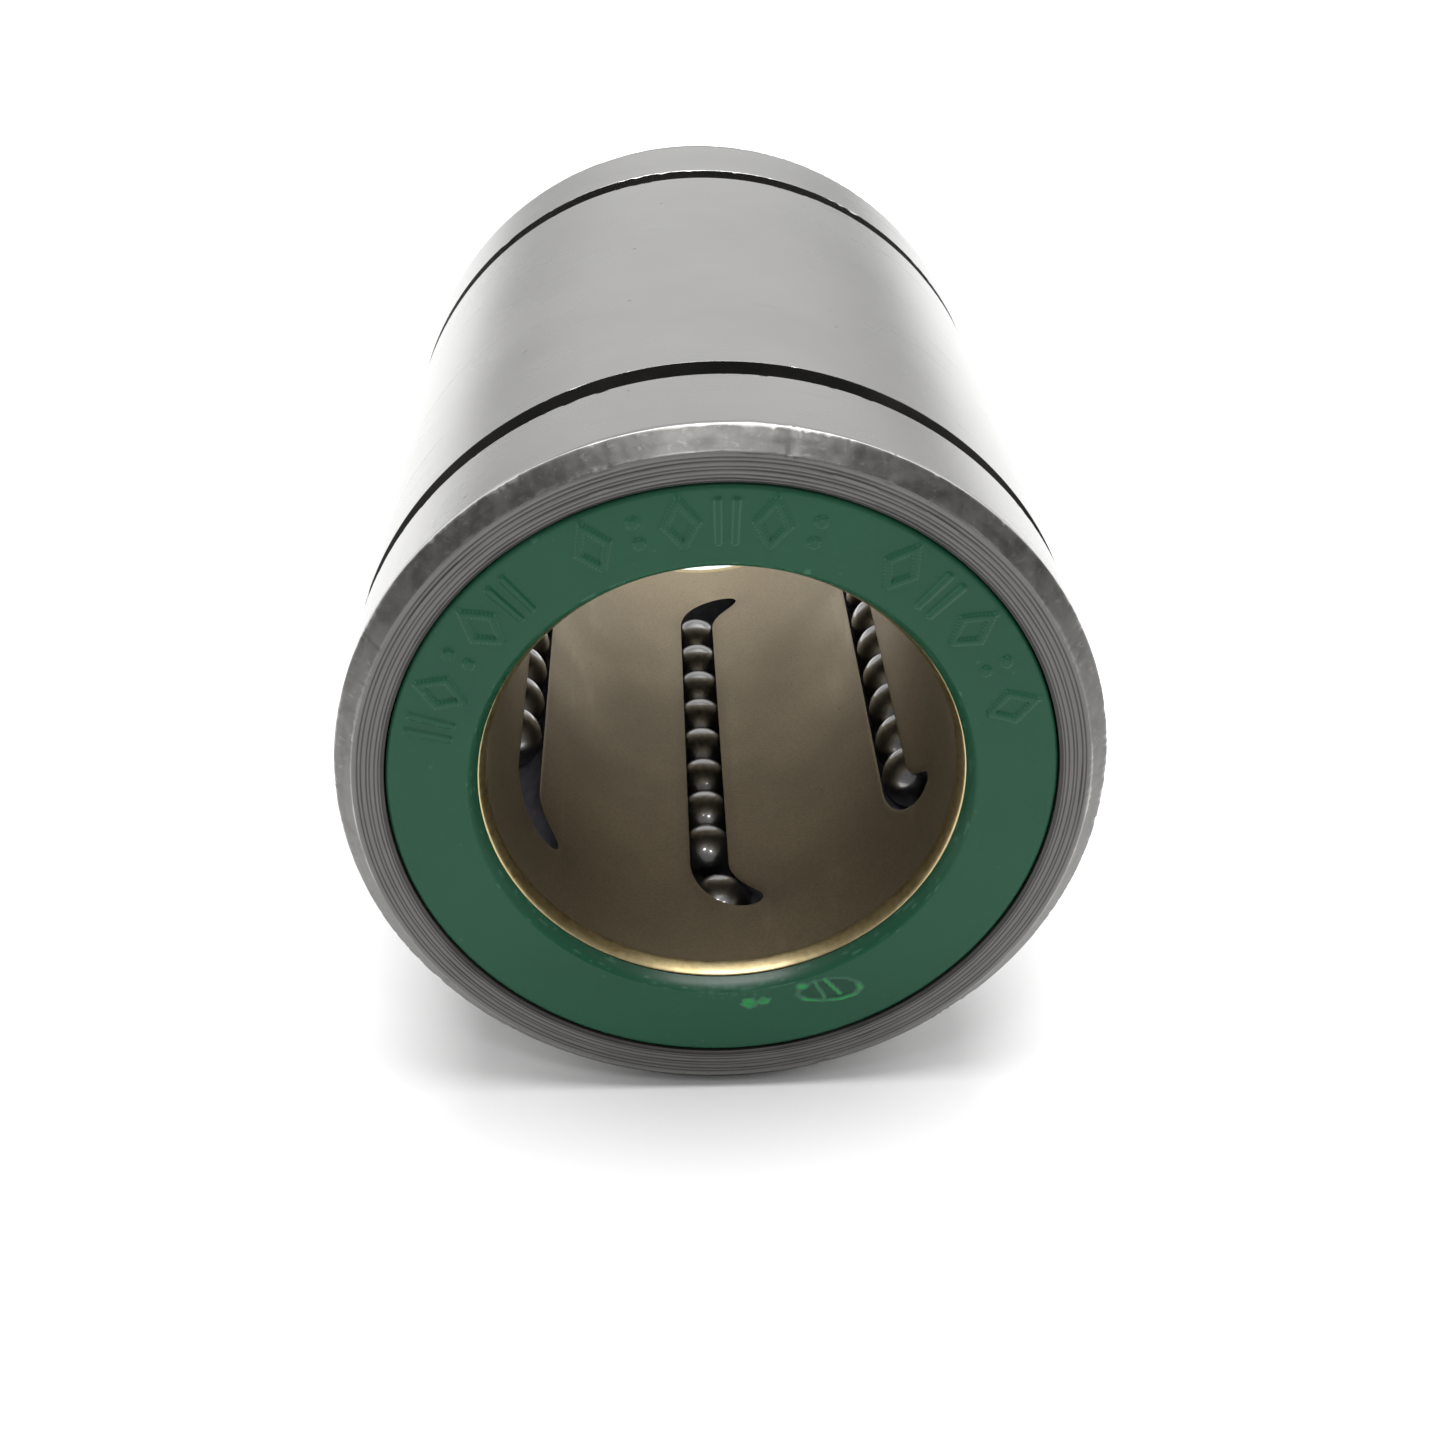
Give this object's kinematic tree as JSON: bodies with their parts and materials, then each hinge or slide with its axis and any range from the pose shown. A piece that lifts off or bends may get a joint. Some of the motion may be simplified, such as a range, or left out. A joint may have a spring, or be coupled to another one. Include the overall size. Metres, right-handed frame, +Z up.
{
  "type": "linear ball bushing",
  "caption": "Linear ball bushing for a round shaft: grooved steel sleeve, brass cage with recirculating ball circuits, green moulded end rings.",
  "frame": {"origin": "middle of the bore, halfway between the two end faces", "axes": "+Y along the bore from the front end, the one that shows in the picture, to the rear; +Z up with the bushing lying on its side"},
  "size_m": [0.0318, 0.0412, 0.0318],
  "materials": {
    "sleeve_steel": "ground, with turned end faces",
    "cage_brass": "machined, dulled",
    "end_ring_plastic": "moulded, satin",
    "ball_steel": "polished, oiled"
  },
  "bodies": {
    "root": {"outer_sleeve": "sleeve_steel", "ball_cage": "cage_brass", "front_end_ring": "end_ring_plastic", "rear_end_ring": "end_ring_plastic"},
    "circuit_1_load": {"circuit_1_load_balls": "ball_steel"},
    "circuit_1_rear_turn": {"circuit_1_rear_turn_balls": "ball_steel"},
    "circuit_1_return": {"circuit_1_return_balls": "ball_steel"},
    "circuit_1_front_turn": {"circuit_1_front_turn_balls": "ball_steel"},
    "circuit_2_load": {"circuit_2_load_balls": "ball_steel"},
    "circuit_2_rear_turn": {"circuit_2_rear_turn_balls": "ball_steel"},
    "circuit_2_return": {"circuit_2_return_balls": "ball_steel"},
    "circuit_2_front_turn": {"circuit_2_front_turn_balls": "ball_steel"},
    "circuit_3_load": {"circuit_3_load_balls": "ball_steel"},
    "circuit_3_rear_turn": {"circuit_3_rear_turn_balls": "ball_steel"},
    "circuit_3_return": {"circuit_3_return_balls": "ball_steel"},
    "circuit_3_front_turn": {"circuit_3_front_turn_balls": "ball_steel"},
    "circuit_4_load": {"circuit_4_load_balls": "ball_steel"},
    "circuit_4_rear_turn": {"circuit_4_rear_turn_balls": "ball_steel"},
    "circuit_4_return": {"circuit_4_return_balls": "ball_steel"},
    "circuit_4_front_turn": {"circuit_4_front_turn_balls": "ball_steel"},
    "circuit_5_load": {"circuit_5_load_balls": "ball_steel"},
    "circuit_5_rear_turn": {"circuit_5_rear_turn_balls": "ball_steel"},
    "circuit_5_return": {"circuit_5_return_balls": "ball_steel"},
    "circuit_5_front_turn": {"circuit_5_front_turn_balls": "ball_steel"},
    "circuit_6_load": {"circuit_6_load_balls": "ball_steel"},
    "circuit_6_rear_turn": {"circuit_6_rear_turn_balls": "ball_steel"},
    "circuit_6_return": {"circuit_6_return_balls": "ball_steel"},
    "circuit_6_front_turn": {"circuit_6_front_turn_balls": "ball_steel"}
  },
  "joints": [
    {"name": "circuit_1_load_travel", "type": "slide", "parent": "root", "child": "circuit_1_load", "axis": [0, 1, 0], "range_m": [-0.00292, 0.00012]},
    {"name": "circuit_1_rear_turn_travel", "type": "hinge", "parent": "root", "child": "circuit_1_rear_turn", "pos_m": [0.00266, 0.01175, -0.01119], "axis": [-0.0488, 0, -0.9988], "range_deg": [-57.46, 2.38]},
    {"name": "circuit_1_return_travel", "type": "slide", "parent": "root", "child": "circuit_1_return", "axis": [0, 1, 0], "range_m": [-0.00012, 0.00292]},
    {"name": "circuit_1_front_turn_travel", "type": "hinge", "parent": "root", "child": "circuit_1_front_turn", "pos_m": [0.00266, -0.01175, -0.01119], "axis": [-0.0488, 0, -0.9988], "range_deg": [-57.46, 2.38]},
    {"name": "circuit_2_load_travel", "type": "slide", "parent": "root", "child": "circuit_2_load", "axis": [0, 1, 0], "range_m": [-0.00164, 0.0014]},
    {"name": "circuit_2_rear_turn_travel", "type": "hinge", "parent": "root", "child": "circuit_2_rear_turn", "pos_m": [0.01102, 0.01175, -0.00329], "axis": [0.8406, 0, -0.5417], "range_deg": [-32.28, 27.56]},
    {"name": "circuit_2_return_travel", "type": "slide", "parent": "root", "child": "circuit_2_return", "axis": [0, 1, 0], "range_m": [-0.0014, 0.00164]},
    {"name": "circuit_2_front_turn_travel", "type": "hinge", "parent": "root", "child": "circuit_2_front_turn", "pos_m": [0.01102, -0.01175, -0.00329], "axis": [0.8406, 0, -0.5417], "range_deg": [-32.28, 27.56]},
    {"name": "circuit_3_load_travel", "type": "slide", "parent": "root", "child": "circuit_3_load", "axis": [0, 1, 0], "range_m": [-0.00092, 0.00212]},
    {"name": "circuit_3_rear_turn_travel", "type": "hinge", "parent": "root", "child": "circuit_3_rear_turn", "pos_m": [0.00836, 0.01175, 0.0079], "axis": [0.8894, 0, 0.4571], "range_deg": [-18.12, 41.72]},
    {"name": "circuit_3_return_travel", "type": "slide", "parent": "root", "child": "circuit_3_return", "axis": [0, 1, 0], "range_m": [-0.00212, 0.00092]},
    {"name": "circuit_3_front_turn_travel", "type": "hinge", "parent": "root", "child": "circuit_3_front_turn", "pos_m": [0.00836, -0.01175, 0.0079], "axis": [0.8894, 0, 0.4571], "range_deg": [-18.12, 41.72]},
    {"name": "circuit_4_load_travel", "type": "slide", "parent": "root", "child": "circuit_4_load", "axis": [0, 1, 0], "range_m": [-0.00242, 0.00062]},
    {"name": "circuit_4_rear_turn_travel", "type": "hinge", "parent": "root", "child": "circuit_4_rear_turn", "pos_m": [-0.00266, 0.01175, 0.01119], "axis": [0.0488, 0, 0.9988], "range_deg": [-47.63, 12.22]},
    {"name": "circuit_4_return_travel", "type": "slide", "parent": "root", "child": "circuit_4_return", "axis": [0, 1, 0], "range_m": [-0.00062, 0.00242]},
    {"name": "circuit_4_front_turn_travel", "type": "hinge", "parent": "root", "child": "circuit_4_front_turn", "pos_m": [-0.00266, -0.01175, 0.01119], "axis": [0.0488, 0, 0.9988], "range_deg": [-47.63, 12.22]},
    {"name": "circuit_5_load_travel", "type": "slide", "parent": "root", "child": "circuit_5_load", "axis": [0, 1, 0], "range_m": [-0.00042, 0.00262]},
    {"name": "circuit_5_rear_turn_travel", "type": "hinge", "parent": "root", "child": "circuit_5_rear_turn", "pos_m": [-0.01102, 0.01175, 0.00329], "axis": [-0.8406, 0, 0.5417], "range_deg": [-8.28, 51.56]},
    {"name": "circuit_5_return_travel", "type": "slide", "parent": "root", "child": "circuit_5_return", "axis": [0, 1, 0], "range_m": [-0.00262, 0.00042]},
    {"name": "circuit_5_front_turn_travel", "type": "hinge", "parent": "root", "child": "circuit_5_front_turn", "pos_m": [-0.01102, -0.01175, 0.00329], "axis": [-0.8406, 0, 0.5417], "range_deg": [-8.28, 51.56]},
    {"name": "circuit_6_load_travel", "type": "slide", "parent": "root", "child": "circuit_6_load", "axis": [0, 1, 0], "range_m": [-0.00269, 0.00035]},
    {"name": "circuit_6_rear_turn_travel", "type": "hinge", "parent": "root", "child": "circuit_6_rear_turn", "pos_m": [-0.00836, 0.01175, -0.0079], "axis": [-0.8894, 0, -0.4571], "range_deg": [-52.94, 6.91]},
    {"name": "circuit_6_return_travel", "type": "slide", "parent": "root", "child": "circuit_6_return", "axis": [0, 1, 0], "range_m": [-0.00035, 0.00269]},
    {"name": "circuit_6_front_turn_travel", "type": "hinge", "parent": "root", "child": "circuit_6_front_turn", "pos_m": [-0.00836, -0.01175, -0.0079], "axis": [-0.8894, 0, -0.4571], "range_deg": [-52.94, 6.91]}
  ],
  "couplings": [
    {"joint": "circuit_1_return_travel", "follows": "circuit_1_load_travel", "ratio": -1},
    {"joint": "circuit_1_rear_turn_travel", "follows": "circuit_1_load_travel", "rad_per_m": 343.34},
    {"joint": "circuit_1_front_turn_travel", "follows": "circuit_1_load_travel", "rad_per_m": 343.34},
    {"joint": "circuit_2_return_travel", "follows": "circuit_2_load_travel", "ratio": -1},
    {"joint": "circuit_2_rear_turn_travel", "follows": "circuit_2_load_travel", "rad_per_m": 343.34},
    {"joint": "circuit_2_front_turn_travel", "follows": "circuit_2_load_travel", "rad_per_m": 343.34},
    {"joint": "circuit_3_return_travel", "follows": "circuit_3_load_travel", "ratio": -1},
    {"joint": "circuit_3_rear_turn_travel", "follows": "circuit_3_load_travel", "rad_per_m": 343.34},
    {"joint": "circuit_3_front_turn_travel", "follows": "circuit_3_load_travel", "rad_per_m": 343.34},
    {"joint": "circuit_4_return_travel", "follows": "circuit_4_load_travel", "ratio": -1},
    {"joint": "circuit_4_rear_turn_travel", "follows": "circuit_4_load_travel", "rad_per_m": 343.34},
    {"joint": "circuit_4_front_turn_travel", "follows": "circuit_4_load_travel", "rad_per_m": 343.34},
    {"joint": "circuit_5_return_travel", "follows": "circuit_5_load_travel", "ratio": -1},
    {"joint": "circuit_5_rear_turn_travel", "follows": "circuit_5_load_travel", "rad_per_m": 343.34},
    {"joint": "circuit_5_front_turn_travel", "follows": "circuit_5_load_travel", "rad_per_m": 343.34},
    {"joint": "circuit_6_return_travel", "follows": "circuit_6_load_travel", "ratio": -1},
    {"joint": "circuit_6_rear_turn_travel", "follows": "circuit_6_load_travel", "rad_per_m": 343.34},
    {"joint": "circuit_6_front_turn_travel", "follows": "circuit_6_load_travel", "rad_per_m": 343.34}
  ]
}
